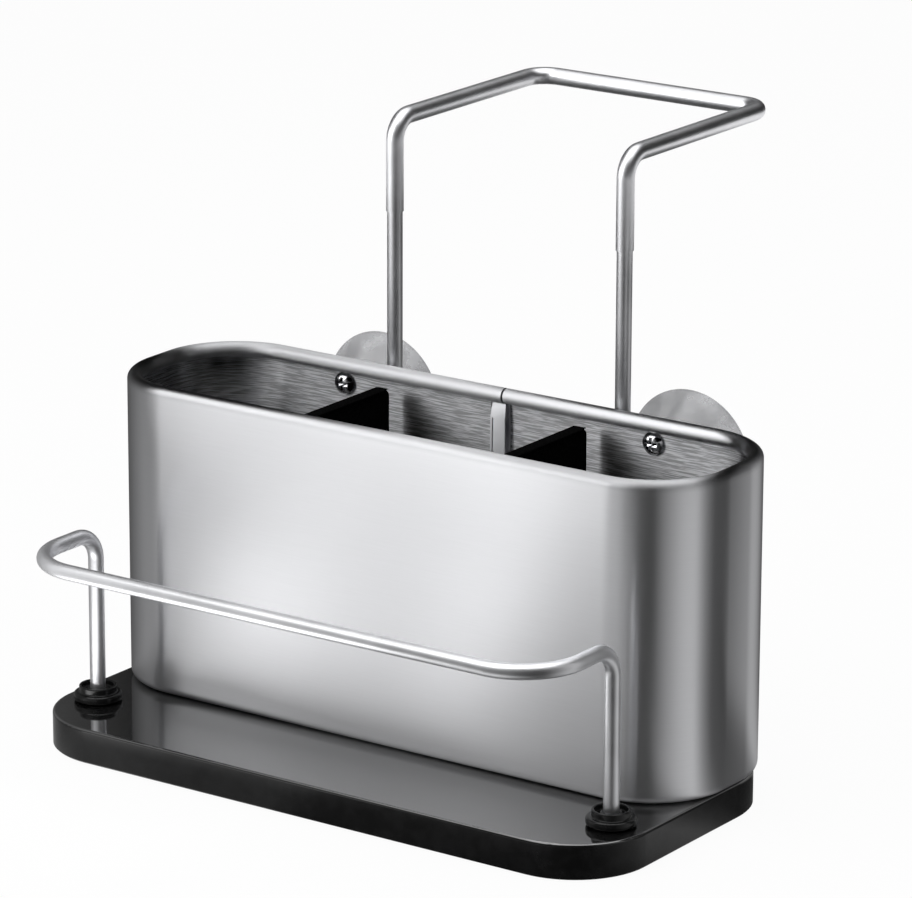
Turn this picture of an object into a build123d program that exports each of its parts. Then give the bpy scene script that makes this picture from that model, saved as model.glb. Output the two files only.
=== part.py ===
from build123d import *
import os

# Kitchen sink caddy: a brushed steel sleeve on a moulded base with a sponge ledge, two lift-out dividers,
# a wire rail round the ledge, and a tube loop on two rods that goes round a tap.
# Millimetres. X runs along the sleeve, -Y is the ledge side, +Z is up, and the feet stand on z = 0.
# The origin lies under the middle of the whole part's box.

# Overall and sheet metal sizes
sleeve_length = 222.6
sleeve_depth = 66.4
sleeve_height = 102.2
sleeve_end_flat = 10.4
sheet = 0.6
rim_d = 5.0
rim_curl_degrees = 285
rim_gap = 0.7
turn_in_r = 3.0
turn_in_width = 8.0
seam_x = 1.9
seam_width = 5.6
seam_proud = 2.4
seam_lip = 0.6
seam_groove = 0.5
seam_plain_end = 5.0

# Moulded base
ledge_depth = 40.6
base_overhang = 1.2
base_thickness = 11.3
base_wall = 2.2
base_front_r = 26.0
deck_edge_r = 0.9
skirt_edge = 0.5
rib_width = 1.5
rib_recess = 1.2
rib_pitch_x = 34.0
rib_pitch_y = 26.0

# Rubber feet
foot_d = 12.0
foot_thickness = 2.0
foot_proud = 0.4
foot_edge = 0.4
foot_seat_wall = 1.5
foot_inset_x = 22.0
foot_inset_y = 14.0

# Wire rail and its collars
wire_d = 5.0
running_gap = 0.05
rail_leg_inset = 11.9
rail_leg_gap = 15.4
rail_reach = 38.4
rail_height = 56.3
rail_top_r = 9.0
rail_arm_straight = 9.4
leg_end_chamfer = 0.4
collar_flange_d = 15.6
collar_flange_h = 2.4
collar_ring_d = 12.1
collar_ring_h = 4.6
collar_bowl_d = 10.0
collar_bowl_depth = 1.5
collar_shank_d = 9.0
collar_shank_h = 5.0
collar_edge_r = 0.7
socket_wall = 1.8

# Drain floor and dividers
floor_thickness = 2.0
floor_edge = 0.6
fit_gap = 0.3
drain_slot_width = 4.0
drain_slot_boss_gap = 2.0
drain_pitch = 11.0
drain_count = 15
drain_margin = 1.5
window_margin = 3.0
window_corner_r = 3.0
divider_thickness = 1.2
divider_height = 93.7
divider_corner_r = 3.0
divider_left_x = -39.2
divider_right_x = 36.7
divider_rim_gap = 0.3
channel_wall = 1.6
channel_height = 9.0
channel_gap = 0.15

# Screws from below
base_screw_x = 66.0
base_screw_edge = 12.0
base_screw_d = 2.9
base_screw_length = 11.0
base_screw_head_d = 5.6
base_screw_head_h = 2.0
base_boss_d = 8.4
base_boss_h = 4.0
floor_boss_d = 7.0
floor_boss_h = 7.0
floor_boss_cap = 1.1
hole_gap = 0.2

# Brackets, rods, loop and suction cups behind the sleeve; a drop or a rise is from the rim's top
rod_x = 43.8
rod_wall_gap = 5.1
rod_screw_gap = 1.75
rod_foot_past_screw = 4.5
rod_bend_r = 7.0
tube_d = 5.7
tube_wall = 0.3
loop_reach = 81.5
loop_rise = 79.2
loop_bend_r = 7.5
tube_overlap = 21.5
tube_end_rise = 49.1
screw_x = 59.3
screw_drop = 9.1
screw_pitch = 19.8
screw_d = 3.9
screw_length = 9.0
screw_head_d = 7.4
screw_head_h = 2.6
screw_rim_h = 0.9
cross_width = 1.2
cross_length = 4.4
cross_depth = 1.3
bracket_drop = 4.5
bracket_foot_margin = 4.3
bracket_inner_margin = 3.6
bracket_outer_margin = 10.0
bracket_depth = 11.0
bracket_corner_r = 5.0
bracket_edge = 1.4
cup_d = 44.6
cup_plane_gap = 20.1
cup_lip = 0.7
cup_dome_h = 7.6
cup_hollow_h = 4.8
cup_hub_d = 17.0
cup_neck_d = 7.2
cup_head_d = 9.2
cup_head_h = 2.4
cup_neck_h = 2.2
cup_socket_gap = 0.15

# How far a cutting tool runs past the face it opens
overrun = 1.0

# Heights and places worked out from the sizes above
sleeve_corner_r = (sleeve_depth - sleeve_end_flat) / 2
rail_front_r = rail_reach - rail_top_r - rail_arm_straight
base_bottom = foot_proud
deck = base_bottom + base_thickness
deck_under = deck - base_wall
rim_top = deck + sleeve_height
rim_z = rim_top - rim_d / 2
floor_bottom = deck + sheet
floor_top = floor_bottom + floor_thickness
front_reach = sleeve_depth / 2 + rail_leg_gap + rail_reach + wire_d / 2
back_reach = sleeve_depth / 2 + rod_wall_gap + loop_reach + tube_d / 2
sleeve_y = (front_reach - back_reach) / 2
rear_face = sleeve_y + sleeve_depth / 2
front_face = sleeve_y - sleeve_depth / 2
base_rear = rear_face - base_overhang
base_front = front_face - ledge_depth
base_y = (base_rear + base_front) / 2
base_length = sleeve_length - 2 * base_overhang
base_depth = base_rear - base_front
rail_x = base_length / 2 - rail_leg_inset
rail_y = front_face - rail_leg_gap
rail_z = deck + rail_height
leg_seat = base_bottom + base_wall
screw_heights = [rim_top - screw_drop, rim_top - screw_drop - screw_pitch]
cup_z = sum(screw_heights) / 2
rod_y = rear_face + rod_wall_gap
rod_foot_z = screw_heights[1] - (screw_d + wire_d) / 2 - rod_screw_gap
rod_foot_x = screw_x + rod_foot_past_screw
rim_gap_x = seam_x + seam_width / 2
loop_z = rim_top + loop_rise
tube_end_z = rim_top + tube_end_rise
rod_top = tube_end_z + tube_overlap
bracket_top_z = rim_top - bracket_drop
bracket_height = bracket_top_z - (rod_foot_z - wire_d / 2 - bracket_foot_margin)
bracket_inner_x = rod_x - wire_d / 2 - bracket_inner_margin
bracket_outer_x = screw_x + bracket_outer_margin
cup_plane = rear_face + cup_plane_gap
bracket_back = rear_face + bracket_depth
cup_depth = cup_plane - bracket_back
plinth_inset = turn_in_width + fit_gap
floor_inset = turn_in_r + fit_gap
wire_bore_d = wire_d + 2 * running_gap
base_screw_y = sleeve_depth / 2 - base_screw_edge
drain_slot_length = 2 * (base_screw_y - base_boss_d / 2 - drain_slot_boss_gap)
foot_x = base_length / 2 - foot_inset_x
foot_rows = [base_front + foot_inset_y, base_rear - foot_inset_y]
divider_width = sleeve_depth - 2 * (rim_d + divider_rim_gap)
divider_places = [divider_left_x, divider_right_x]
sides = {"left": -1, "right": 1}

os.makedirs("parts", exist_ok=True)


def sleeve_outline(inset):
    """The sleeve's plan outline, drawn in all round by inset."""
    RectangleRounded(
        sleeve_length - 2 * inset, sleeve_depth - 2 * inset, sleeve_corner_r - inset
    )


def base_outline(inset):
    """The base's plan outline: corners of its own at the ledge, the sleeve's at the rear."""
    half_length = base_length / 2 - inset
    front_r = base_front_r - inset
    rear_r = sleeve_corner_r - base_overhang - inset
    with BuildLine() as plan:
        FilletPolyline(
            (-half_length, base_front + inset),
            (half_length, base_front + inset),
            (half_length, base_rear - inset),
            (-half_length, base_rear - inset),
            radius=[front_r, front_r, rear_r, rear_r],
            close=True,
        )
    make_face(plan.line)


def drain_rows():
    """X of each drain slot, one list for each compartment, with none under a divider's channel."""
    keep_off = divider_thickness / 2 + channel_gap + channel_wall + drain_margin + drain_slot_width / 2
    rows = [(i - (drain_count - 1) / 2) * drain_pitch for i in range(drain_count)]
    walls = [-sleeve_length / 2, *divider_places, sleeve_length / 2]
    return [
        [x for x in rows if low + keep_off < x < high - keep_off]
        for low, high in zip(walls, walls[1:])
    ]


def cap_radius(half_width, height):
    """Radius of the sphere whose cap has this half width and height."""
    return (half_width**2 + height**2) / (2 * height)


def save(part, name):
    part.label = name
    export_step(part, f"parts/{name}.step")


# Base tray: one moulding, hollow underneath, with ribs, sockets and screw bosses under the deck
with BuildPart() as base_tray:
    with BuildSketch(Plane.XY.offset(base_bottom)):
        base_outline(0)
    extrude(amount=base_thickness)
    fillet(base_tray.edges().group_by(Axis.Z)[-1], deck_edge_r)
    chamfer(base_tray.edges().group_by(Axis.Z)[0], skirt_edge)
    with BuildSketch(Plane.XY.offset(base_bottom)):
        base_outline(base_wall)
    extrude(amount=base_thickness - base_wall, mode=Mode.SUBTRACT)

    # Ribs under the deck, trimmed to the inside of the skirt
    with BuildSketch(Plane.XY.offset(base_bottom + rib_recess)):
        base_outline(base_wall / 2)
        with BuildSketch(mode=Mode.PRIVATE) as rib_grid:
            with Locations((0, base_y)):
                with GridLocations(rib_pitch_x, 0, int(base_length / rib_pitch_x), 1):
                    Rectangle(rib_width, base_depth)
                with GridLocations(0, rib_pitch_y, 1, int(base_depth / rib_pitch_y)):
                    Rectangle(base_length, rib_width)
        add(rib_grid.sketch, mode=Mode.INTERSECT)
    extrude(amount=base_thickness - rib_recess - base_wall)

    # Sockets of the rail legs, screw bosses and foot seats
    with BuildSketch(Plane.XY.offset(base_bottom)):
        with Locations((-rail_x, rail_y), (rail_x, rail_y)):
            Circle(collar_shank_d / 2 + socket_wall)
        with Locations((0, sum(foot_rows) / 2)):
            with GridLocations(2 * foot_x, foot_rows[1] - foot_rows[0], 2, 2):
                Circle(foot_d / 2 + foot_seat_wall)
    extrude(amount=base_thickness - base_wall)
    with BuildSketch(Plane.XY.offset(deck_under - base_boss_h)):
        with Locations((0, sleeve_y)):
            with GridLocations(2 * base_screw_x, 2 * base_screw_y, 2, 2):
                Circle(base_boss_d / 2)
    extrude(amount=base_boss_h)

    # Plinth inside the sleeve's turned-in edge
    with BuildSketch(Plane.XY.offset(deck)):
        with Locations((0, sleeve_y)):
            sleeve_outline(plinth_inset)
    extrude(amount=sheet)

    # Holes: collar shanks, rail legs, screws with room for their heads, feet, a window under each compartment
    with BuildSketch(Plane.XY.offset(deck)):
        with Locations((-rail_x, rail_y), (rail_x, rail_y)):
            Circle(collar_shank_d / 2 + running_gap)
    extrude(amount=-collar_shank_h, mode=Mode.SUBTRACT)
    with BuildSketch(Plane.XY.offset(deck)):
        with Locations((-rail_x, rail_y), (rail_x, rail_y)):
            Circle(wire_bore_d / 2)
    extrude(amount=leg_seat - deck, mode=Mode.SUBTRACT)
    with BuildSketch(Plane.XY.offset(floor_bottom)):
        with Locations((0, sleeve_y)):
            with GridLocations(2 * base_screw_x, 2 * base_screw_y, 2, 2):
                Circle(base_screw_d / 2 + hole_gap)
    extrude(amount=-base_thickness, mode=Mode.SUBTRACT)
    with BuildSketch(Plane.XY.offset(deck_under - base_boss_h)):
        with Locations((0, sleeve_y)):
            with GridLocations(2 * base_screw_x, 2 * base_screw_y, 2, 2):
                Circle(base_boss_d / 2)
    extrude(amount=-base_thickness, mode=Mode.SUBTRACT)
    with BuildSketch(Plane.XY.offset(base_bottom)):
        with Locations((0, sum(foot_rows) / 2)):
            with GridLocations(2 * foot_x, foot_rows[1] - foot_rows[0], 2, 2):
                Circle(foot_d / 2)
    extrude(amount=foot_thickness - foot_proud, mode=Mode.SUBTRACT)
    with BuildSketch(Plane.XY.offset(floor_bottom)):
        for row in drain_rows():
            with Locations(((row[0] + row[-1]) / 2, sleeve_y)):
                RectangleRounded(
                    row[-1] - row[0] + drain_slot_width + 2 * window_margin,
                    drain_slot_length + 2 * window_margin,
                    window_corner_r,
                )
    extrude(amount=-base_thickness, mode=Mode.SUBTRACT)
save(base_tray.part, "base_tray")

# Rubber feet, glued in their seats
for row_name, foot_y in zip(["front", "rear"], foot_rows):
    for side, sign in sides.items():
        with BuildPart() as foot:
            with BuildSketch(Plane.XY):
                with Locations((sign * foot_x, foot_y)):
                    Circle(foot_d / 2)
            extrude(amount=foot_thickness)
            chamfer(foot.edges().group_by(Axis.Z)[0], foot_edge)
        save(foot.part, f"foot_{row_name}_{side}")

# Steel sleeve: one strip section, from the turned-in edge up to the rolled rim, swept round the plan
seam_start = Plane(origin=(0, rear_face, 0), x_dir=(0, 1, 0), z_dir=(1, 0, 0))
with BuildPart() as steel_sleeve:
    with BuildLine() as half_plan:
        FilletPolyline(
            (0, rear_face),
            (sleeve_length / 2, rear_face),
            (sleeve_length / 2, front_face),
            (0, front_face),
            radius=sleeve_corner_r,
        )
    with BuildSketch(seam_start) as strip:
        with BuildLine():
            turned_in = Line(
                (-turn_in_width, deck + sheet / 2), (-turn_in_r, deck + sheet / 2)
            )
            bottom_turn = CenterArc(
                (-turn_in_r, deck + turn_in_r), turn_in_r - sheet / 2, -90, 90
            )
            Line(bottom_turn @ 1, (-sheet / 2, rim_z))
            CenterArc((-rim_d / 2, rim_z), (rim_d - sheet) / 2, 0, rim_curl_degrees)
        trace(line_width=sheet)
    sweep(path=half_plan.line)
    mirror(about=Plane.YZ)

    # Folded lock seam on the inner face, with the fold's open edge as a groove that stops below the roll
    seam_bottom = floor_top + fit_gap
    seam_top = rim_z - rim_d / 2 - fit_gap
    with BuildSketch(Plane.XY.offset(seam_bottom)):
        with Locations((seam_x, rear_face - sheet)):
            Rectangle(seam_width, seam_proud, align=(Align.CENTER, Align.MAX))
    extrude(amount=seam_top - seam_bottom)
    with BuildSketch(Plane.XY.offset(seam_bottom)):
        with Locations((seam_x - seam_width / 2 + seam_lip, rear_face - sheet)):
            Rectangle(seam_groove, seam_proud, align=(Align.MIN, Align.MAX))
    extrude(amount=seam_top - seam_plain_end - seam_bottom, mode=Mode.SUBTRACT)

    # Gap where the two ends of the roll meet, over the seam's right edge
    with BuildSketch(Plane.XY.offset(rim_z - rim_d / 2)):
        with Locations((rim_gap_x, rear_face + overrun)):
            Rectangle(rim_gap, rim_d + 2 * overrun, align=(Align.CENTER, Align.MAX))
    extrude(amount=rim_d + overrun, mode=Mode.SUBTRACT)

    # Screw holes in the rear wall and in the turned-in edge
    with BuildSketch(Plane.XZ.offset(-rear_face)):
        with Locations(*[(s * screw_x, z) for s in sides.values() for z in screw_heights]):
            Circle(screw_d / 2 + hole_gap)
    extrude(amount=sheet + overrun, both=True, mode=Mode.SUBTRACT)
save(steel_sleeve.part, "steel_sleeve")

# Drain floor: a slotted plate on the turned-in edge, with channels for the dividers
with BuildPart() as floor_plate:
    with BuildSketch(Plane.XY.offset(floor_bottom)):
        with Locations((0, sleeve_y)):
            sleeve_outline(floor_inset)
    extrude(amount=floor_thickness)
    chamfer(floor_plate.edges().group_by(Axis.Z)[0], floor_edge)
    with BuildSketch(Plane.XY.offset(floor_top)):
        channel_width = divider_thickness + 2 * (channel_gap + channel_wall)
        with Locations(*[(x, sleeve_y) for x in divider_places]):
            Rectangle(channel_width, divider_width)
    extrude(amount=channel_height)
    with BuildSketch(Plane.XY.offset(floor_top)):
        with Locations((0, sleeve_y)):
            with GridLocations(2 * base_screw_x, 2 * base_screw_y, 2, 2):
                Circle(floor_boss_d / 2)
    extrude(amount=floor_boss_h)
    with BuildSketch(Plane.XY.offset(floor_top)):
        with Locations(*[(x, sleeve_y) for x in divider_places]):
            Rectangle(divider_thickness + 2 * channel_gap, divider_width)
    extrude(amount=channel_height, mode=Mode.SUBTRACT)
    with BuildSketch(Plane.XY.offset(floor_bottom)):
        with Locations((0, sleeve_y)):
            with GridLocations(2 * base_screw_x, 2 * base_screw_y, 2, 2):
                Circle(base_screw_d / 2 + running_gap)
    extrude(amount=floor_thickness + floor_boss_h - floor_boss_cap, mode=Mode.SUBTRACT)
    with BuildSketch(Plane.XY.offset(floor_bottom)):
        with Locations(*[(x, sleeve_y) for row in drain_rows() for x in row]):
            SlotOverall(drain_slot_length, drain_slot_width, rotation=90)
    extrude(amount=floor_thickness, mode=Mode.SUBTRACT)
save(floor_plate.part, "floor_plate")

# Screws from below, which clamp the turned-in edge between base and floor
with BuildPart() as base_screws:
    with BuildSketch(Plane.XY.offset(deck_under - base_boss_h)):
        with Locations((0, sleeve_y)):
            with GridLocations(2 * base_screw_x, 2 * base_screw_y, 2, 2):
                Circle(base_screw_head_d / 2)
    extrude(amount=-base_screw_head_h)
    with BuildSketch(Plane.XY.offset(deck_under - base_boss_h)):
        with Locations((0, sleeve_y)):
            with GridLocations(2 * base_screw_x, 2 * base_screw_y, 2, 2):
                Circle(base_screw_d / 2)
    extrude(amount=base_screw_length)
save(base_screws.part, "base_screws")

# Dividers: blades with rounded top corners that stand in the floor's channels
for side, divider_x in zip(sides, divider_places):
    with BuildPart() as divider:
        with BuildSketch(Plane.YZ.offset(divider_x)):
            with Locations((sleeve_y, floor_top)):
                blade = Rectangle(divider_width, divider_height, align=(Align.CENTER, Align.MIN))
            fillet(blade.vertices().group_by(Axis.Z)[-1], divider_corner_r)
        extrude(amount=divider_thickness / 2, both=True)
    save(divider.part, f"divider_{side}")

# Collars: flange on the deck, ring with a hollow round the wire, shank in the base's socket
for side, sign in sides.items():
    with BuildPart() as collar:
        with BuildSketch(Plane.XZ):
            with BuildLine():
                Polyline(
                    (wire_bore_d / 2, deck - collar_shank_h),
                    (collar_shank_d / 2, deck - collar_shank_h),
                    (collar_shank_d / 2, deck),
                    (collar_flange_d / 2, deck),
                    (collar_flange_d / 2, deck + collar_flange_h),
                    (collar_ring_d / 2, deck + collar_flange_h),
                    (collar_ring_d / 2, deck + collar_ring_h),
                    (collar_bowl_d / 2, deck + collar_ring_h),
                    (wire_bore_d / 2, deck + collar_ring_h - collar_bowl_depth),
                    close=True,
                )
            make_face()
        revolve(axis=Axis.Z)
        above_deck = collar.edges().filter_by(lambda edge: edge.center().Z > deck + collar_flange_h / 2)
        flange_top = above_deck.filter_by(GeomType.CIRCLE).sort_by(lambda edge: edge.radius)[-1]
        fillet(flange_top, collar_edge_r)
    placed = Pos(sign * rail_x, rail_y, 0) * collar.part
    save(placed, f"rail_collar_{side}")

# Sponge rail: one bent wire, both legs down in their sockets
with BuildPart() as sponge_rail:
    with BuildLine() as rail_path:
        FilletPolyline(
            (-rail_x, rail_y, leg_seat),
            (-rail_x, rail_y, rail_z),
            (-rail_x, rail_y - rail_reach, rail_z),
            (rail_x, rail_y - rail_reach, rail_z),
            (rail_x, rail_y, rail_z),
            (rail_x, rail_y, leg_seat),
            radius=[rail_top_r, rail_front_r, rail_front_r, rail_top_r],
        )
    with BuildSketch(Plane(origin=rail_path.line @ 0, z_dir=rail_path.line % 0)):
        Circle(wire_d / 2)
    sweep()
    chamfer(sponge_rail.edges().group_by(Axis.Z)[0], leg_end_chamfer)
save(sponge_rail.part, "sponge_rail")

# Rods: each is bent outwards at the foot, which its bracket is moulded round
for side, sign in sides.items():
    with BuildPart() as rod:
        with BuildLine() as rod_path:
            FilletPolyline(
                (sign * rod_foot_x, rod_y, rod_foot_z),
                (sign * rod_x, rod_y, rod_foot_z),
                (sign * rod_x, rod_y, rod_top),
                radius=rod_bend_r,
            )
        with BuildSketch(Plane(origin=rod_path.line @ 0, z_dir=rod_path.line % 0)):
            Circle(wire_d / 2)
        sweep()
        chamfer(rod.edges().group_by(Axis.Z)[-1], leg_end_chamfer)
    save(rod.part, f"rod_{side}")

# Hanging loop: one bent tube, its ends open to slide on the rods
with BuildPart() as hanging_loop:
    with BuildLine() as loop_path:
        FilletPolyline(
            (-rod_x, rod_y, tube_end_z),
            (-rod_x, rod_y, loop_z),
            (-rod_x, rod_y + loop_reach, loop_z),
            (rod_x, rod_y + loop_reach, loop_z),
            (rod_x, rod_y, loop_z),
            (rod_x, rod_y, tube_end_z),
            radius=loop_bend_r,
        )
    with BuildSketch(Plane(origin=loop_path.line @ 0, z_dir=loop_path.line % 0)):
        Circle(tube_d / 2)
        Circle(tube_d / 2 - tube_wall, mode=Mode.SUBTRACT)
    sweep()
save(hanging_loop.part, "hanging_loop")

# Brackets: blocks on the rear wall, each moulded round the foot of its rod, with a socket for the cup
wall_plane = Plane.XZ.offset(-rear_face)
for side, sign in sides.items():
    bracket_x = sign * (bracket_inner_x + bracket_outer_x) / 2
    with BuildPart() as bracket:
        with BuildSketch(wall_plane):
            with Locations((bracket_x, bracket_top_z - bracket_height / 2)):
                RectangleRounded(bracket_outer_x - bracket_inner_x, bracket_height, bracket_corner_r)
        extrude(amount=-bracket_depth)
        chamfer(bracket.edges().group_by(Axis.Y)[-1], bracket_edge)

        # Bore that follows the rod
        with BuildLine() as bore_path:
            FilletPolyline(
                (sign * (rod_foot_x + running_gap), rod_y, rod_foot_z),
                (sign * rod_x, rod_y, rod_foot_z),
                (sign * rod_x, rod_y, bracket_top_z + overrun),
                radius=rod_bend_r,
            )
        with BuildSketch(Plane(origin=bore_path.line @ 0, z_dir=bore_path.line % 0)):
            Circle(wire_bore_d / 2)
        sweep(mode=Mode.SUBTRACT)

        # Screw holes, and the cup's socket with its narrow mouth
        with BuildSketch(wall_plane):
            with Locations(*[(sign * screw_x, z) for z in screw_heights]):
                Circle(screw_d / 2 + running_gap)
        extrude(amount=-screw_length, mode=Mode.SUBTRACT)
        with BuildSketch(Plane.XZ.offset(-bracket_back)):
            with Locations((sign * screw_x, cup_z)):
                Circle(cup_neck_d / 2 + cup_socket_gap)
        extrude(amount=cup_neck_h, mode=Mode.SUBTRACT)
        with BuildSketch(Plane.XZ.offset(cup_neck_h - bracket_back)):
            with Locations((sign * screw_x, cup_z)):
                Circle(cup_head_d / 2 + cup_socket_gap)
        extrude(amount=cup_head_h + cup_socket_gap, mode=Mode.SUBTRACT)
    save(bracket.part, f"rear_bracket_{side}")

# Pan-head screws through the rear wall into the brackets, made upright and laid down
with BuildPart() as upright_screw:
    with BuildSketch(Plane.XY):
        Circle(screw_head_d / 2)
    extrude(amount=screw_rim_h)
    with BuildSketch(Plane.XY):
        Circle(screw_d / 2)
    extrude(amount=-(screw_length + sheet))
    with BuildSketch(Plane.XZ):
        with BuildLine():
            RadiusArc(
                (screw_head_d / 2, screw_rim_h),
                (0, screw_head_h),
                -cap_radius(screw_head_d / 2, screw_head_h - screw_rim_h),
            )
            Polyline((0, screw_head_h), (0, screw_rim_h), (screw_head_d / 2, screw_rim_h))
        make_face()
    revolve(axis=Axis.Z)
    with BuildSketch(Plane.XY.offset(screw_head_h)):
        Rectangle(cross_length, cross_width)
        Rectangle(cross_width, cross_length)
    extrude(amount=-cross_depth, mode=Mode.SUBTRACT)
with BuildPart() as bracket_screws:
    for sign in sides.values():
        for height in screw_heights:
            add(Pos(sign * screw_x, rear_face - sheet, height) * Rot(90, 0, 0) * upright_screw.part)
save(bracket_screws.part, "bracket_screws")

# Suction cups, made mouth down and laid with the mouth to the rear: thin dish, hub, neck and the head
# that snaps into the bracket
with BuildPart() as upright_cup:
    with BuildSketch(Plane.XZ):
        with BuildLine():
            RadiusArc((cup_d / 2, 0), (0, cup_dome_h), -cap_radius(cup_d / 2, cup_dome_h))
            Line((0, cup_dome_h), (0, cup_hollow_h))
            hollow_r = cup_d / 2 - cup_lip
            RadiusArc((0, cup_hollow_h), (hollow_r, 0), cap_radius(hollow_r, cup_hollow_h))
            Line((hollow_r, 0), (cup_d / 2, 0))
        make_face()
    revolve(axis=Axis.Z)
    with BuildSketch(Plane.XY.offset(cup_hollow_h)):
        Circle(cup_hub_d / 2)
    extrude(amount=cup_depth - cup_hollow_h)
    with BuildSketch(Plane.XY.offset(cup_depth)):
        Circle(cup_neck_d / 2)
    extrude(amount=cup_neck_h)
    with BuildSketch(Plane.XY.offset(cup_depth + cup_neck_h)):
        Circle(cup_head_d / 2)
    with BuildSketch(Plane.XY.offset(cup_depth + cup_neck_h + cup_head_h)):
        Circle(cup_neck_d / 2)
    loft()
for side, sign in sides.items():
    placed = Pos(sign * screw_x, cup_plane, cup_z) * Rot(90, 0, 0) * upright_cup.part
    save(placed, f"suction_cup_{side}")
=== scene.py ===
import math

import bmesh
import bpy
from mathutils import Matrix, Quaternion, Vector


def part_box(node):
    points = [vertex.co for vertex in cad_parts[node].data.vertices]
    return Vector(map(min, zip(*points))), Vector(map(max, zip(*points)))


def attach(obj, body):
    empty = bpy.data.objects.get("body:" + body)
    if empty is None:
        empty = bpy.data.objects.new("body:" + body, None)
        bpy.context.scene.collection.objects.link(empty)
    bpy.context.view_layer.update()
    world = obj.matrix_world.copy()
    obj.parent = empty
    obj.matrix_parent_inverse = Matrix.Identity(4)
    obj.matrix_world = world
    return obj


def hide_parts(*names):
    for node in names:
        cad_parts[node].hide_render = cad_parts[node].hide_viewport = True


# Kitchen sink caddy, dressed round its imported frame. Everything is in metres, in the frame's own axes:
# X along the sleeve, -Y the ledge side, +Z up, with the feet on z = 0.
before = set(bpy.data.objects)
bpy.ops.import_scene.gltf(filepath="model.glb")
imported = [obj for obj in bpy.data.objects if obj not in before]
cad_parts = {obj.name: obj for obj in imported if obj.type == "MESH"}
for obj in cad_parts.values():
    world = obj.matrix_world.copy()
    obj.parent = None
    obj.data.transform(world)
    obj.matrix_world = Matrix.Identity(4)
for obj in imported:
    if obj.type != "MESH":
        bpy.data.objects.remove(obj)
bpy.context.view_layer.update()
mm = 0.001

# Camera at the photograph's angle: a long lens to the right of the front, a little above the rim,
# turned a hair about its own axis.
view_azimuth = math.radians(35.153)
view_elevation = math.radians(16.593)
view_roll = math.radians(0.154)
view_distance = 1.6574
view_target = Vector((0, -16.575, 95.8)) * mm
to_camera = Vector((
    math.sin(view_azimuth) * math.cos(view_elevation),
    -math.cos(view_azimuth) * math.cos(view_elevation),
    math.sin(view_elevation),
))
camera = bpy.data.objects.new("camera", bpy.data.cameras.new("camera"))
bpy.context.scene.collection.objects.link(camera)
camera.location = view_target + to_camera * view_distance
camera.rotation_mode = "QUATERNION"
camera.rotation_quaternion = Quaternion(to_camera, view_roll) @ to_camera.to_track_quat("Z", "Y")
camera.data.lens = 209.5
camera.data.shift_x = 0.0204
camera.data.shift_y = 0.0157
camera.data.clip_start = 0.1
camera.data.clip_end = 20
bpy.context.scene.camera = camera


# Sleeve: one strip of brushed stainless sheet, bent round the plan. Its top edge is rolled inwards and
# left polished, its bottom edge is turned in over the base, and its two ends meet at the rear.
sheet = 0.6 * mm
roll_d = 5 * mm
roll_turn = math.radians(285)
foot_turn_r = 3 * mm
foot_turn_width = 8 * mm
sleeve_corner_r = 28 * mm
roll_gap = 0.7 * mm
roll_gap_x = 4.7 * mm
roll_steps, foot_steps, corner_steps = 28, 6, 32
smooth_angle = 35
merge_distance = 1e-7


def clear_selection():
    if bpy.context.mode != "OBJECT":
        bpy.ops.object.mode_set(mode="OBJECT")
    bpy.ops.object.select_all(action="DESELECT")


def start_piece(name, size=(1, 1, 1)):
    """Names and sizes the primitive just added, settles it into its mesh and opens it for shaping."""
    piece = bpy.context.object
    piece.name = piece.data.name = name
    piece.scale = size
    bpy.ops.object.transform_apply(location=True, rotation=True, scale=True)
    bpy.ops.object.mode_set(mode="EDIT")
    return piece


def pick(kind, test):
    """Selects the vertices, edges or faces whose middle passes the test."""
    bpy.ops.mesh.select_mode(type=kind)
    bpy.ops.mesh.select_all(action="DESELECT")
    mesh = bmesh.from_edit_mesh(bpy.context.object.data)
    for item in {"VERT": mesh.verts, "EDGE": mesh.edges, "FACE": mesh.faces}[kind]:
        corners = [item] if kind == "VERT" else item.verts
        middle = sum((corner.co for corner in corners), Vector()) / len(corners)
        item.select_set(bool(test(middle)))
    mesh.select_flush(True)
    bmesh.update_edit_mesh(bpy.context.object.data)


def draw_out(way):
    bpy.ops.mesh.extrude_region_move(TRANSFORM_OT_translate={"value": tuple(way)})


def turn(centre, axis, angle, steps):
    """Spins the selection by the right-hand rule; the operator's own angle runs the other way."""
    bpy.ops.mesh.spin(steps=steps, angle=-angle, center=tuple(centre), axis=tuple(axis))


def close_piece(piece, body, finish, slot, *nodes, smooth=smooth_angle):
    """Ends a piece: faces outward, smooth but for its sharp edges, finished, and riding on its body."""
    bpy.ops.mesh.select_mode(type="VERT")
    bpy.ops.mesh.select_all(action="SELECT")
    bpy.ops.mesh.remove_doubles(threshold=merge_distance)
    bpy.ops.mesh.normals_make_consistent(inside=False)
    bpy.ops.object.mode_set(mode="OBJECT")
    bpy.ops.object.shade_smooth_by_angle(angle=math.radians(smooth))
    piece.data.materials.clear()
    piece.data.materials.append(finish.material)
    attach(piece, body)
    if nodes:
        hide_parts(*nodes)
    clear_selection()
    return piece


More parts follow.
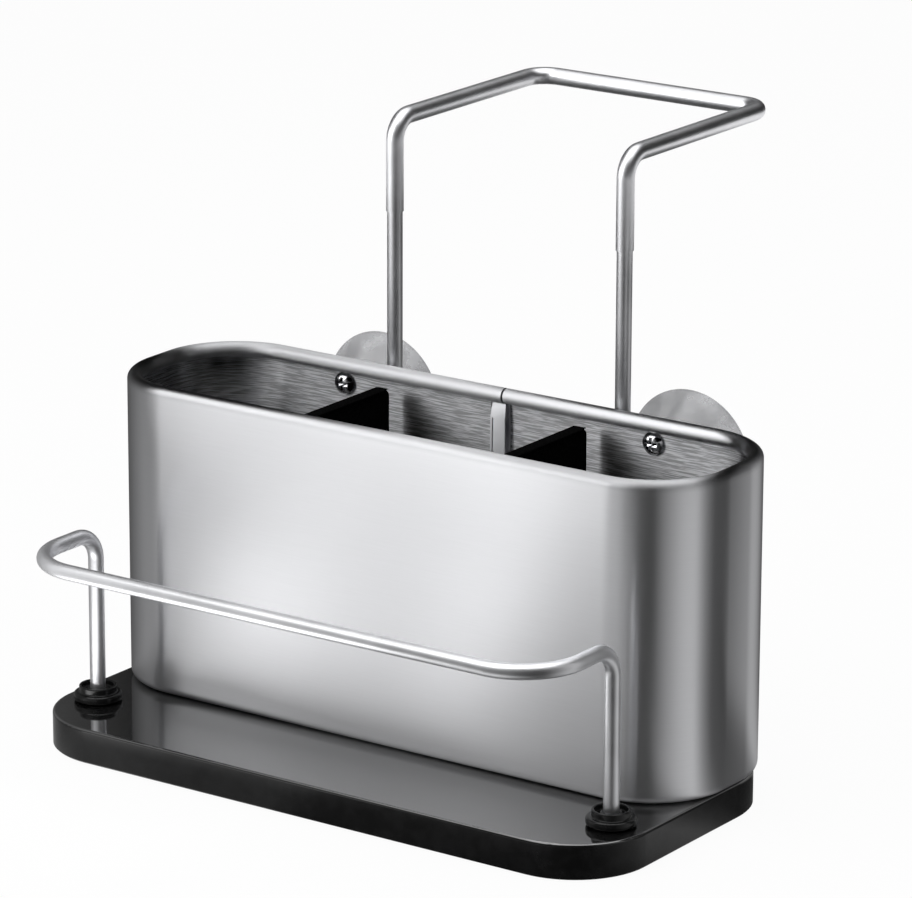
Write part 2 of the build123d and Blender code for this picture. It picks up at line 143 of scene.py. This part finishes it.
class Signal:
    """One output socket of a node tree, so that its sums are written as expressions."""

    def __init__(self, nodes, socket):
        self.nodes = nodes
        self.socket = socket

    def sum(self, operation, *values):
        return self.nodes.node("ShaderNodeMath", {"operation": operation}, dict(enumerate(values)))

    def __add__(self, other):
        return self.sum("ADD", self, other)

    def __mul__(self, other):
        return self.sum("MULTIPLY", self, other)

    def __sub__(self, other):
        return self.sum("SUBTRACT", self, other)

    def __rsub__(self, other):
        return self.sum("SUBTRACT", other, self)

    __radd__ = __add__
    __rmul__ = __mul__

    def band(self, low, high):
        """0 up to low, 1 from high on, and smooth between them."""
        return self.nodes.node(
            "ShaderNodeMapRange", {"interpolation_type": "SMOOTHSTEP"}, {0: self, 1: low, 2: high}
        )


class Nodes:
    """A node tree, to which nodes are added with their settings and inputs."""

    def __init__(self, tree):
        self.tree = tree

    def fill(self, socket, value):
        if isinstance(value, Signal):
            self.tree.links.new(value.socket, socket)
        else:
            socket.default_value = value

    def node(self, kind, settings=None, inputs=None, output=0):
        made = self.tree.nodes.new(kind)
        for name, value in (settings or {}).items():
            if name == "stops":
                self.spread_stops(made.color_ramp.elements, value)
            else:
                setattr(made, name, value)
        for key, value in (inputs or {}).items():
            self.fill(made.inputs[key], value)
        return Signal(self, made.outputs[output])

    def spread_stops(self, elements, stops):
        """Lays a ramp's grey levels along it, each given as (place, level)."""
        for place, _ in stops[2:]:
            elements.new(place)
        for element, (place, level) in zip(elements, stops):
            element.position = place
            element.color = (level, level, level, 1)

    def place(self):
        return self.node("ShaderNodeTexCoord", output="Object")

    def along(self, axis):
        return self.node("ShaderNodeSeparateXYZ", {}, {0: self.place()}, axis)

    def noise(self, per_metre, detail=2.0):
        """Noise with this many features a metre along X, Y and Z."""
        place = self.node("ShaderNodeMapping", {}, {"Vector": self.place(), "Scale": per_metre})
        return self.node("ShaderNodeTexNoise", {}, {"Vector": place, "Scale": 1.0, "Detail": detail})

    def mix(self, share, low, high):
        return self.node("ShaderNodeMix", {"data_type": "RGBA"}, {0: share, 6: low, 7: high}, 2)

    def seen_directly(self):
        """1 for what is seen by eye, in gloss or through glass, and 0 for the light that falls on things."""
        by_eye, in_gloss, through_glass = (
            self.node("ShaderNodeLightPath", output=f"Is {kind} Ray")
            for kind in ("Camera", "Glossy", "Transmission")
        )
        return by_eye + in_gloss + through_glass


class Finish(Nodes):
    """A material with one Principled shader, and nodes for what varies over the surface."""

    def __init__(self, name, **constants):
        self.material = bpy.data.materials.new(name)
        self.material.use_nodes = True
        super().__init__(self.material.node_tree)
        self.shader = self.tree.nodes["Principled BSDF"]
        self.set(**constants)

    def set(self, **values):
        """Fills the shader's sockets: base_color means Base Color, and so on."""
        for name, value in values.items():
            words = name.replace("_", " ").title().replace("Ior", "IOR")
            self.fill(self.shader.inputs[words], value)

    def bump(self, height, depth):
        self.set(normal=self.node("ShaderNodeBump", {}, {"Height": height, "Distance": depth}))


def grey(level):
    """A grey with the slight coolness of steel."""
    return (level, level * 1.005, level * 1.03, 1)


def brushed_steel():
    """Level brush lines, fine outside and coarser inside, and none on the duller roll at the top, whose
    colour is darkened as painted shade.
    """
    finish = Finish("brushed_steel", anisotropic=1.0, anisotropic_rotation=0.25)
    fine = finish.noise((90, 90, 5200), 3)
    coarse = finish.noise((150, 150, 3600), 2)
    clouds = finish.noise((20, 20, 20))
    from_middle = finish.node(
        "ShaderNodeMapping", {}, {"Vector": finish.place(), "Location": (0, -sleeve_y, 0), "Scale": (1, 1, 0)}
    )
    normal = finish.node("ShaderNodeTexCoord", output="Normal")
    outward = finish.node(
        "ShaderNodeVectorMath", {"operation": "DOT_PRODUCT"}, {0: normal, 1: from_middle}, 1
    )
    height_up = finish.along("Z")
    wall = 1 - height_up.band(roll_foot - 1.3 * mm, roll_foot + 0.5 * mm)
    roll = height_up.band(roll_foot + 1.1 * mm, roll_foot + 3.7 * mm)
    inside = (1 - outward.band(-1 * mm, 1 * mm)) * wall
    streaks = coarse.band(0.4, 0.62) * inside
    # The roll's colour is darkened by 0.3 as painted shade that dims its reflection; the streaks and fine
    # noise are random tone.
    tone_and_painted_roll_shade = streaks + (1 - inside) * (0.4 + fine * 0.1) - roll * 0.3
    finish.set(
        base_color=finish.mix(tone_and_painted_roll_shade, grey(0.5), grey(0.95)),
        metallic=1 - streaks * 0.04,
        roughness=0.3 + fine * 0.02 + clouds * 0.03 + roll * 0.06 - inside * 0.03,
    )
    finish.bump((fine * 0.6 + streaks) * wall, 0.003 * mm)
    return finish


sleeve_low, sleeve_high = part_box("steel_sleeve")
sleeve_y = (sleeve_low.y + sleeve_high.y) / 2
sleeve_foot = sleeve_low.z
roll_foot = sleeve_high.z - roll_d
roll_z = sleeve_high.z - roll_d / 2
rear_wall = sleeve_high.y
corner_x = sleeve_high.x - sleeve_corner_r
front_corner_y = sleeve_low.y + sleeve_corner_r
rear_corner_y = rear_wall - sleeve_corner_r
wall_height = roll_z - sleeve_foot - foot_turn_r
gap_left, gap_right = roll_gap_x - roll_gap / 2, roll_gap_x + roll_gap / 2

clear_selection()
bpy.ops.mesh.primitive_plane_add(
    size=1,
    location=(gap_right, rear_wall - sheet / 2, sleeve_foot + foot_turn_r + wall_height / 2),
    rotation=(0, math.pi / 2, 0),
)
sleeve = start_piece("sleeve", (wall_height, sheet, 1))
pick("EDGE", lambda at: at.z > roll_z - sheet)
turn((0, rear_wall - roll_d / 2, roll_z), (1, 0, 0), roll_turn, roll_steps)
pick("EDGE", lambda at: at.z < sleeve_foot + foot_turn_r + sheet)
turn((0, rear_wall - foot_turn_r, sleeve_foot + foot_turn_r), (1, 0, 0), -math.pi / 2, foot_steps)
draw_out((0, foot_turn_r - foot_turn_width, 0))
bpy.ops.mesh.select_mode(type="FACE")
bpy.ops.mesh.select_all(action="SELECT")
bpy.ops.mesh.region_to_loop()
bpy.ops.mesh.select_all(action="INVERT")
bpy.ops.mesh.delete(type="EDGE")
bpy.ops.mesh.select_all(action="SELECT")
draw_out((corner_x - gap_right, 0, 0))
turn((corner_x, rear_corner_y, 0), (0, 0, 1), -math.pi / 2, corner_steps)
draw_out((0, front_corner_y - rear_corner_y, 0))
turn((corner_x, front_corner_y, 0), (0, 0, 1), -math.pi / 2, corner_steps)
draw_out((-2 * corner_x, 0, 0))
turn((-corner_x, front_corner_y, 0), (0, 0, 1), -math.pi / 2, corner_steps)
draw_out((0, rear_corner_y - front_corner_y, 0))
turn((-corner_x, rear_corner_y, 0), (0, 0, 1), -math.pi / 2, corner_steps)
draw_out((corner_x + gap_left, 0, 0))
for end in (gap_left, gap_right):
    pick("EDGE", lambda at: abs(at.x - end) < roll_gap / 4 and at.y > rear_corner_y)
    bpy.ops.mesh.fill()
close_piece(sleeve, "caddy", brushed_steel(), "brushed_sheet", "steel_sleeve")

# Lock seam: the folded lap on the inner face that joins the strip's ends. One edge of the fold stays
# open as a groove. A thin lip on its other side covers the slit between the ends, and a rib fills it.
seam_x = 1.9 * mm
seam_width = 5.6 * mm
seam_proud = 2.4 * mm
seam_lip = 0.6 * mm
seam_groove = 0.5 * mm
seam_plain_end = 5 * mm
seam_lean = 1.2 * mm
seam_undercut = 1.3 * mm
seam_edge = 0.15 * mm
seam_foot = 14.6 * mm
seam_top = 108.6 * mm
slit_lip = 0.4 * mm
rib_play = 0.1 * mm
seam_back = rear_wall - sheet
seam_left, seam_right = seam_x - seam_width / 2, seam_x + seam_width / 2
seam_front = seam_back - seam_proud
groove_left, groove_right = seam_left + seam_lip, seam_left + seam_lip + seam_groove
rib_left, rib_right = gap_left + rib_play, gap_right - rib_play
hair = sheet / 8


def cut_across(place, normal):
    bpy.ops.mesh.select_all(action="SELECT")
    bpy.ops.mesh.bisect(plane_co=tuple(place), plane_no=tuple(normal))


def soften(piece, width, segments=2):
    """Breaks the piece's edges with an applied bevel."""
    bpy.ops.object.mode_set(mode="OBJECT")
    bevel = piece.modifiers.new("edge", "BEVEL")
    bevel.width = width
    bevel.segments = segments
    bevel.limit_method = "ANGLE"
    bpy.ops.object.modifier_apply(modifier="edge")
    bpy.ops.object.mode_set(mode="EDIT")


def satin_steel(name, dark, light, roughness):
    """Plain steel without brush lines: fine scuffs, and softer cloudy polish."""
    finish = Finish(name, metallic=1.0)
    scuffs = finish.noise((900, 900, 900), 4)
    clouds = finish.noise((60, 60, 60), 3)
    finish.set(
        base_color=finish.mix(clouds.band(0.35, 0.7), grey(dark), grey(light)),
        roughness=roughness + scuffs * 0.08 + clouds * 0.05,
    )
    finish.bump(scuffs, 0.012 * mm)
    return finish


bpy.ops.mesh.primitive_cube_add(
    size=1, location=(seam_x, seam_back - seam_proud / 2, (seam_foot + seam_top) / 2)
)
seam = start_piece("lock_seam", (seam_width, seam_proud, seam_top - seam_foot))
cut_across((0, seam_back - slit_lip, 0), (0, 1, 0))
pick("FACE", lambda at: at.x > seam_right - hair and at.y > seam_back - slit_lip)
draw_out((roll_gap, 0, 0))
for cut in (groove_left, groove_right, rib_left, rib_right):
    cut_across((cut, 0, 0), (1, 0, 0))
fold_foot, fold_top = seam_foot + sheet, seam_top - seam_plain_end
for cut in (fold_foot, fold_top):
    cut_across((0, 0, cut), (0, 0, 1))
cut_across((0, seam_front + sheet, 0), (0, 1, 0))
pick("FACE", lambda at: (
    groove_left < at.x < groove_right
    and at.y < seam_front + hair
    and fold_foot < at.z < fold_top
))
draw_out((0, seam_proud - sheet / 2, 0))
pick("FACE", lambda at: (
    at.x > seam_right - hair
    and seam_front + sheet < at.y < seam_back - slit_lip
    and fold_foot < at.z < fold_top
))
draw_out((-seam_undercut, 0, 0))
pick("FACE", lambda at: rib_left < at.x < rib_right and at.y > seam_back - hair)
draw_out((0, sheet / 2, 0))
pick("EDGE", lambda at: at.z > seam_top - hair and at.y < seam_front + hair)
bpy.ops.transform.translate(value=(0, seam_lean, 0))
soften(seam, seam_edge)
close_piece(seam, "caddy", satin_steel("pressed_steel", 0.85, 0.95, 0.42), "brushed_sheet")

# Base: one black gloss moulding, with the sponge ledge as its polished deck in front of the sleeve, level
# with the sleeve's foot. Its sides keep the mould's plain gloss.
deck_z = sleeve_foot
base_finish = Finish("base_gloss", specular_ior_level=0.3, coat_ior=2.4, coat_roughness=0.03)
base_wear = base_finish.noise((260, 260, 260), 4)
base_ripple = base_finish.noise((34, 34, 34), 2)
base_height = base_finish.along("Z")
below_deck = base_height.band(deck_z - 0.7 * mm, deck_z - 0.1 * mm)
above_deck = base_height.band(deck_z + 0.1 * mm, deck_z + 0.3 * mm)
base_finish.set(
    base_color=base_finish.mix(base_wear.band(0.35, 0.7), grey(0.005), grey(0.009)),
    roughness=0.07 + base_wear * 0.05,
    coat_weight=below_deck - above_deck,
)
base_finish.bump(base_ripple, 0.15 * mm)


def refinish(finish, *nodes):
    """Gives CAD nodes whose shape is right their finish."""
    for name in nodes:
        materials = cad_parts[name].data.materials
        materials.clear()
        materials.append(finish.material)


refinish(base_finish, "base_tray")

# Feet: four rubber pads pressed into the base, matt and a little dusty.
rubber = Finish("foot_rubber", roughness=0.8)
rubber_dust = rubber.noise((900, 900, 900), 5)
rubber.set(base_color=rubber.mix(rubber_dust.band(0.4, 0.7), grey(0.022), grey(0.05)))
rubber.bump(rubber_dust, 0.04 * mm)
refinish(rubber, "foot_front_left", "foot_front_right", "foot_rear_left", "foot_rear_right")

# Drain floor: a slotted black moulding in the foot of the sleeve, satin, with a fine mould texture, and
# the four bright screws that come up into it from under the base.
satin = Finish("satin_black")
satin_grain = satin.noise((2600, 2600, 2600), 2)
satin_wear = satin.noise((90, 90, 90), 4)
satin.set(
    base_color=satin.mix(satin_wear.band(0.4, 0.75), grey(0.012), grey(0.021)),
    roughness=0.3 + satin_wear * 0.14,
)
satin.bump(satin_grain, 0.02 * mm)
refinish(satin, "floor_plate")
chrome = Finish("screw_chrome", metallic=1.0)
chrome_tool_marks = chrome.noise((1400, 1400, 1400), 3)
chrome.set(
    base_color=chrome.mix(chrome_tool_marks.band(0.35, 0.65), grey(0.62), grey(0.8)),
    roughness=0.06 + chrome_tool_marks * 0.08,
)
chrome.bump(chrome_tool_marks, 0.03 * mm)
refinish(chrome, "base_screws")

# Dividers: two black moulded blades that stand in the floor's channels and lift out, dead matt, with their
# upper corners rounded and their edges broken.
matt_black = Finish("matt_black", specular_ior_level=0, roughness=0.5)
matt_grain = matt_black.noise((1600, 1600, 1600), 3)
matt_black.set(base_color=matt_black.mix(matt_grain.band(0.4, 0.7), grey(0.002), grey(0.005)))
matt_black.bump(matt_grain, 0.02 * mm)
blade_corner_r = 3 * mm
blade_edge = 0.3 * mm
corner_segments, edge_segments = 8, 3
for side in ("left", "right"):
    low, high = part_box(f"divider_{side}")
    bpy.ops.mesh.primitive_cube_add(size=1, location=(low + high) / 2)
    blade = start_piece(f"blade_{side}", high - low)
    pick("EDGE", lambda at: at.z > high.z - sheet and not low.y + sheet < at.y < high.y - sheet)
    bpy.ops.mesh.bevel(offset=blade_corner_r, segments=corner_segments)
    soften(blade, blade_edge, edge_segments)
    close_piece(blade, f"{side}_divider", matt_black, "divider_plastic", f"divider_{side}")

# Collars: gloss black sockets that hold the rail's feet: a rounded flange, and on it a thin ring round a
# bowl. They are seated level with the top of the base, which is 0.6 mm above its deck.
flange_r, flange_h = 7.8 * mm, 2.4 * mm
ring_r, ring_h, ring_wall = 6.05 * mm, 4.6 * mm, 0.9 * mm
bowl_r, bowl_depth = 4.95 * mm, 1.8 * mm
mouth_lip, mouth_drop = 0.8 * mm, 0.9 * mm
mouth_foot = 1.5 * mm
shank_r, shank_depth = 4.5 * mm, 3 * mm
wire_r, wire_play = 2.5 * mm, 0.06 * mm
bore_r = wire_r + wire_play
arc_steps = 5
turn_steps = 48


def turned(name, centre, profile):
    """A turned piece: its profile is drawn corner by corner as (radius, height) and spun round."""
    centre = Vector(centre)
    points = [centre + Vector((radius, 0, height)) for radius, height in profile]
    bpy.ops.mesh.primitive_plane_add(size=mm, location=points[0])
    piece = start_piece(name)
    bpy.ops.mesh.merge(type="CENTER")
    for before, after in zip(points, points[1:]):
        draw_out(after - before)
    bpy.ops.mesh.select_all(action="SELECT")
    turn(centre, (0, 0, 1), 2 * math.pi, turn_steps)
    return piece


def round_profile(corners):
    """Turns each corner, given as (radius, height, rounding), into a short arc, or keeps it sharp at 0."""
    points = [Vector(corner[:2]) for corner in corners]
    rounded = []
    for index, (here, corner) in enumerate(zip(points, corners)):
        rounding = corner[2]
        if not rounding:
            rounded.append(here[:])
            continue
        start = here + (points[index - 1] - here).normalized() * rounding
        end = here + (points[index + 1] - here).normalized() * rounding
        for step in range(arc_steps + 1):
            share = step / arc_steps
            rounded.append(start.lerp(here, share).lerp(here.lerp(end, share), share)[:])
    return rounded


collar_profile = round_profile([
    (bore_r, -shank_depth, 0),
    (bore_r, ring_h - mouth_drop, 0.3 * mm),
    (wire_r + mouth_lip, ring_h - mouth_drop, 0.3 * mm),
    (wire_r + mouth_foot, ring_h - bowl_depth, 0.3 * mm),
    (bowl_r, ring_h - bowl_depth, 0.4 * mm),
    (ring_r - ring_wall, ring_h, 0.35 * mm),
    (ring_r, ring_h, 0.45 * mm),
    (ring_r, flange_h, 0.5 * mm),
    (flange_r, flange_h, 1.1 * mm),
    (flange_r, 0, 0.5 * mm),
    (shank_r, 0, 0),
    (shank_r, -shank_depth, 0),
])
rail_low, rail_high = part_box("sponge_rail")
rail_leg_x = rail_high.x - wire_r
rail_leg_y = rail_high.y - wire_r
collar_seat_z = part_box("base_tray")[1].z
for side, leg_x in (("left", -rail_leg_x), ("right", rail_leg_x)):
    collar = turned(f"collar_{side}", (leg_x, rail_leg_y, collar_seat_z), collar_profile)
    close_piece(collar, "caddy", base_finish, "black_plastic", f"rail_collar_{side}", smooth=50)

# Rail: one length of satin steel wire, bent up out of the collars and forward round the ledge.
rail_top_r = 9 * mm
rail_front_r = 20 * mm
wire_sides = 32
bend_steps = 14


def bent_wire(name, radius, route, bends):
    """A wire or tube: a ring drawn along the route's runs and spun round its bends."""
    route = [Vector(corner) for corner in route]
    heading = (route[1] - route[0]).normalized()
    bpy.ops.mesh.primitive_circle_add(
        vertices=wire_sides,
        radius=radius,
        location=route[0],
        rotation=heading.to_track_quat("Z", "Y").to_euler(),
    )
    piece = start_piece(name)
    here = route[0]
    for before, corner, after, bend in zip(route, route[1:], route[2:], bends):
        way_in, way_out = (corner - before).normalized(), (after - corner).normalized()
        angle = way_in.angle(way_out)
        reach = bend * math.tan(angle / 2)
        axis = way_in.cross(way_out).normalized()
        draw_out(corner - way_in * reach - here)
        turn(corner - way_in * reach + axis.cross(way_in) * bend, axis, angle, bend_steps)
        here = corner + way_out * reach
    draw_out(route[-1] - here)
    return piece


def cap_ends():
    bpy.ops.mesh.select_all(action="SELECT")
    bpy.ops.mesh.fill_holes(sides=0)


wire_finish = satin_steel("satin_wire", 0.78, 0.88, 0.33)
rail_bar_y = rail_low.y + wire_r
rail_bar_z = rail_high.z - wire_r
rail = bent_wire("rail", wire_r, [
    (-rail_leg_x, rail_leg_y, rail_low.z),
    (-rail_leg_x, rail_leg_y, rail_bar_z),
    (-rail_leg_x, rail_bar_y, rail_bar_z),
    (rail_leg_x, rail_bar_y, rail_bar_z),
    (rail_leg_x, rail_leg_y, rail_bar_z),
    (rail_leg_x, rail_leg_y, rail_low.z),
], (rail_top_r, rail_front_r, rail_front_r, rail_top_r))
cap_ends()
close_piece(rail, "rail", wire_finish, "steel_wire", "sponge_rail")

# Rods: two steel wires whose feet are moulded into the brackets, standing up behind the sleeve.
rod_bend_r = 7 * mm
for side, way in (("left", -1), ("right", 1)):
    low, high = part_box(f"rod_{side}")
    rod_x = (low.x if way > 0 else high.x) + way * wire_r
    foot_x = high.x if way > 0 else low.x
    rod_y = (low.y + high.y) / 2
    rod = bent_wire(f"upright_{side}", wire_r, [
        (foot_x, rod_y, low.z + wire_r),
        (rod_x, rod_y, low.z + wire_r),
        (rod_x, rod_y, high.z),
    ], (rod_bend_r,))
    cap_ends()
    close_piece(rod, "caddy", wire_finish, "steel_wire", f"rod_{side}")

# Tap loop: one length of thin steel tube, bent round three sides of the tap and pushed on over the ends
# of the two rods, on which it slides up.
tube_r = 2.85 * mm
loop_bend_r = 7.5 * mm
mouth_depth = 6 * mm
loop_low, loop_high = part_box("hanging_loop")
loop_x = loop_high.x - tube_r
loop_front_y = loop_low.y + tube_r
loop_back_y = loop_high.y - tube_r
loop_z = loop_high.z - tube_r
loop = bent_wire("tap_loop", tube_r, [
    (-loop_x, loop_front_y, loop_low.z),
    (-loop_x, loop_front_y, loop_z),
    (-loop_x, loop_back_y, loop_z),
    (loop_x, loop_back_y, loop_z),
    (loop_x, loop_front_y, loop_z),
    (loop_x, loop_front_y, loop_low.z),
], (loop_bend_r,) * 4)
for mouth_x in (-loop_x, loop_x):
    pick("EDGE", lambda at: at.z < loop_low.z + sheet and abs(at.x - mouth_x) < tube_r * 2)
    draw_out((0, 0, 0))
    bore = bore_r / tube_r
    bpy.ops.transform.resize(value=(bore, bore, 1), center_override=(mouth_x, loop_front_y, loop_low.z))
    draw_out((0, 0, mouth_depth))
close_piece(loop, "loop", wire_finish, "steel_wire", "hanging_loop")

# Brackets: gloss black blocks moulded round the rods' feet and screwed to the rear wall, with the pan
# head screws that hold them.
bracket_finish = Finish("bracket_gloss", ior=1.46)
bracket_grain = bracket_finish.noise((420, 420, 420), 3)
bracket_finish.set(
    base_color=bracket_finish.mix(bracket_grain.band(0.4, 0.7), grey(0.012), grey(0.018)),
    roughness=0.16 + bracket_grain * 0.1,
)
bracket_finish.bump(bracket_grain, 0.05 * mm)
refinish(bracket_finish, "rear_bracket_left", "rear_bracket_right")
refinish(chrome, "bracket_screws")

# Suction cups: clear soft vinyl, a thin dish on a ribbed neck whose head is pressed into the bracket.
vinyl = Finish("clear_vinyl", ior=1.45, transmission_weight=0.7)
vinyl_cloud = vinyl.noise((130, 130, 130), 4)
vinyl_fine = vinyl.noise((600, 600, 600), 2)
vinyl.set(
    base_color=vinyl.mix(vinyl_cloud.band(0.35, 0.7), grey(0.4), grey(0.58)),
    roughness=0.12 + vinyl_cloud * 0.25,
)
vinyl.bump(vinyl_cloud + vinyl_fine * 0.3, 0.08 * mm)
refinish(vinyl, "suction_cup_left", "suction_cup_right")

# Studio: a plain pale floor that keeps the shadow, a white surround, soft panels of light, and round the
# object light and dark cards, a low ring close by and a tall ring far off, which only gloss sees.
clear_selection()
bpy.ops.mesh.primitive_plane_add(size=8)
floor = bpy.context.object
floor.name = "floor"
floor_finish = Finish("pale_floor", base_color=(0.85, 0.85, 0.85, 1), roughness=0.9)
floor.data.materials.append(floor_finish.material)
white_share = 0.95
floor_white = floor_finish.node("ShaderNodeEmission", {}, {"Color": (1, 1, 1, 1), "Strength": 1.0})
floor_shader = Signal(floor_finish, floor_finish.shader.outputs["BSDF"])
floor_mix = floor_finish.node(
    "ShaderNodeMixShader",
    {},
    {0: floor_finish.seen_directly() * white_share, 1: floor_shader, 2: floor_white},
)
floor_finish.fill(floor_finish.tree.nodes["Material Output"].inputs["Surface"], floor_mix)

# The low ring stands on a disc that covers the ground, which is brightest before the base. The tall ring's
# own disc is sunk out of sight, and its cards darken towards their tops. The levels are the cards'
# brightness round the object, by degrees from the front towards the right.
near_radius, near_height = 175 * mm, 140 * mm
near_foot = 0.1 * mm
ground_front_y, ground_back_y = -135 * mm, -105 * mm
ground_gain = 6
far_radius, far_height = 1.5, 2.5
far_foot = -5 * mm
far_strength = 4.2
far_dim_from, far_dark_from = 0.75, 0.95
near_levels = (
    (-90, 0.15), (-84, 0.21), (-72, 0.33), (-64, 0.32), (-58, 0.4), (-52, 0.76), (-46, 0.82), (-41, 0.7),
    (-36, 0.53), (-28, 0.44), (-14, 0.46), (-9, 0.37), (-4, 0.2), (6, 0.11), (17, 0.11), (27, 0.12),
    (37, 0.1), (45, 0.04), (57, 0.01), (61, 0.1), (64, 0.2), (70, 0.35), (76, 0.51), (85, 0.67),
    (91, 0.31), (97, 0.11), (113, 0.06), (120, 0.5), (130, 0.5), (150, 0.12), (250, 0.03), (269, 0.15),
)
far_levels = (
    (-90, 0), (-68, 0), (-63, 0.7), (-38, 0.7), (-33, 1), (-28, 1), (-18, 0.3), (0, 0.05), (20, 0), (269, 0)
)
card_middle_y = -20 * mm


def card_ring(name, levels, radius, foot, height):
    """Stands a ring of cards on a disc round the object, and gives its finish and its level round about."""
    bpy.ops.mesh.primitive_cylinder_add(
        vertices=96, radius=radius, depth=height, location=(0, card_middle_y, foot + height / 2)
    )
    ring = bpy.context.object
    ring.name = name
    bpy.ops.object.transform_apply(location=True)
    bpy.ops.object.mode_set(mode="EDIT")
    pick("FACE", lambda at: at.z > foot + height - hair)
    bpy.ops.mesh.delete(type="FACE")
    bpy.ops.object.mode_set(mode="OBJECT")
    ring.visible_camera = ring.visible_diffuse = ring.visible_shadow = ring.visible_transmission = False
    finish = Finish(name)
    ring.data.materials.append(finish.material)
    centred = finish.node(
        "ShaderNodeMapping", {}, {"Vector": finish.place(), "Location": (0, -card_middle_y, 0)}
    )
    round_about = finish.node("ShaderNodeTexGradient", {"gradient_type": "RADIAL"}, {0: centred}, 1)
    stops = [((degrees + 90) / 360, level) for degrees, level in levels]
    ramp = finish.node("ShaderNodeValToRGB", {"stops": stops}, {0: round_about})
    return finish, finish.node("ShaderNodeSeparateColor", {}, {0: ramp})


def shine(finish, strength):
    light = finish.node("ShaderNodeEmission", {}, {"Color": (1, 1, 1, 1), "Strength": strength})
    finish.fill(finish.tree.nodes["Material Output"].inputs["Surface"], light)


near_cards, near_level = card_ring("near_cards", near_levels, near_radius, near_foot, near_height)
on_ground = 1 - near_cards.along("Z").band(1 * mm, 2 * mm)
before_base = 1 - near_cards.along("Y").band(ground_front_y, ground_back_y)
shine(near_cards, near_level * (1 + on_ground * before_base * ground_gain))
far_cards, far_level = card_ring("far_cards", far_levels, far_radius, far_foot, far_height)
shine(far_cards, far_level * far_strength * (1 - far_cards.along("Z").band(far_dim_from, far_dark_from)))
clear_selection()

fill_light = 0.4
world = bpy.data.worlds.new("studio")
bpy.context.scene.world = world
world.use_nodes = True
sky = Nodes(world.node_tree)
backdrop = world.node_tree.nodes["Background"]
sky.fill(backdrop.inputs["Color"], (1, 1, 1, 1))
sky.fill(backdrop.inputs["Strength"], fill_light + sky.seen_directly() * (1 - fill_light))


def light_panel(name, place, aim, size, power):
    lamp = bpy.data.lights.new(name, "AREA")
    lamp.shape = "RECTANGLE"
    lamp.size, lamp.size_y = size
    lamp.energy = power
    panel = bpy.data.objects.new(name, lamp)
    bpy.context.scene.collection.objects.link(panel)
    panel.location = place
    panel.rotation_mode = "QUATERNION"
    panel.rotation_quaternion = (Vector(place) - Vector(aim)).to_track_quat("Z", "Y")


light_panel("key_panel", place=(-0.5, -0.9, 1.1), aim=(0, 0, 0.08), size=(1.2, 1.2), power=9)
light_panel("top_panel", place=(0.1, 0.1, 1.2), aim=(0, 0, 0), size=(1.6, 1.2), power=6)
bpy.context.scene.view_settings.view_transform = "Standard"
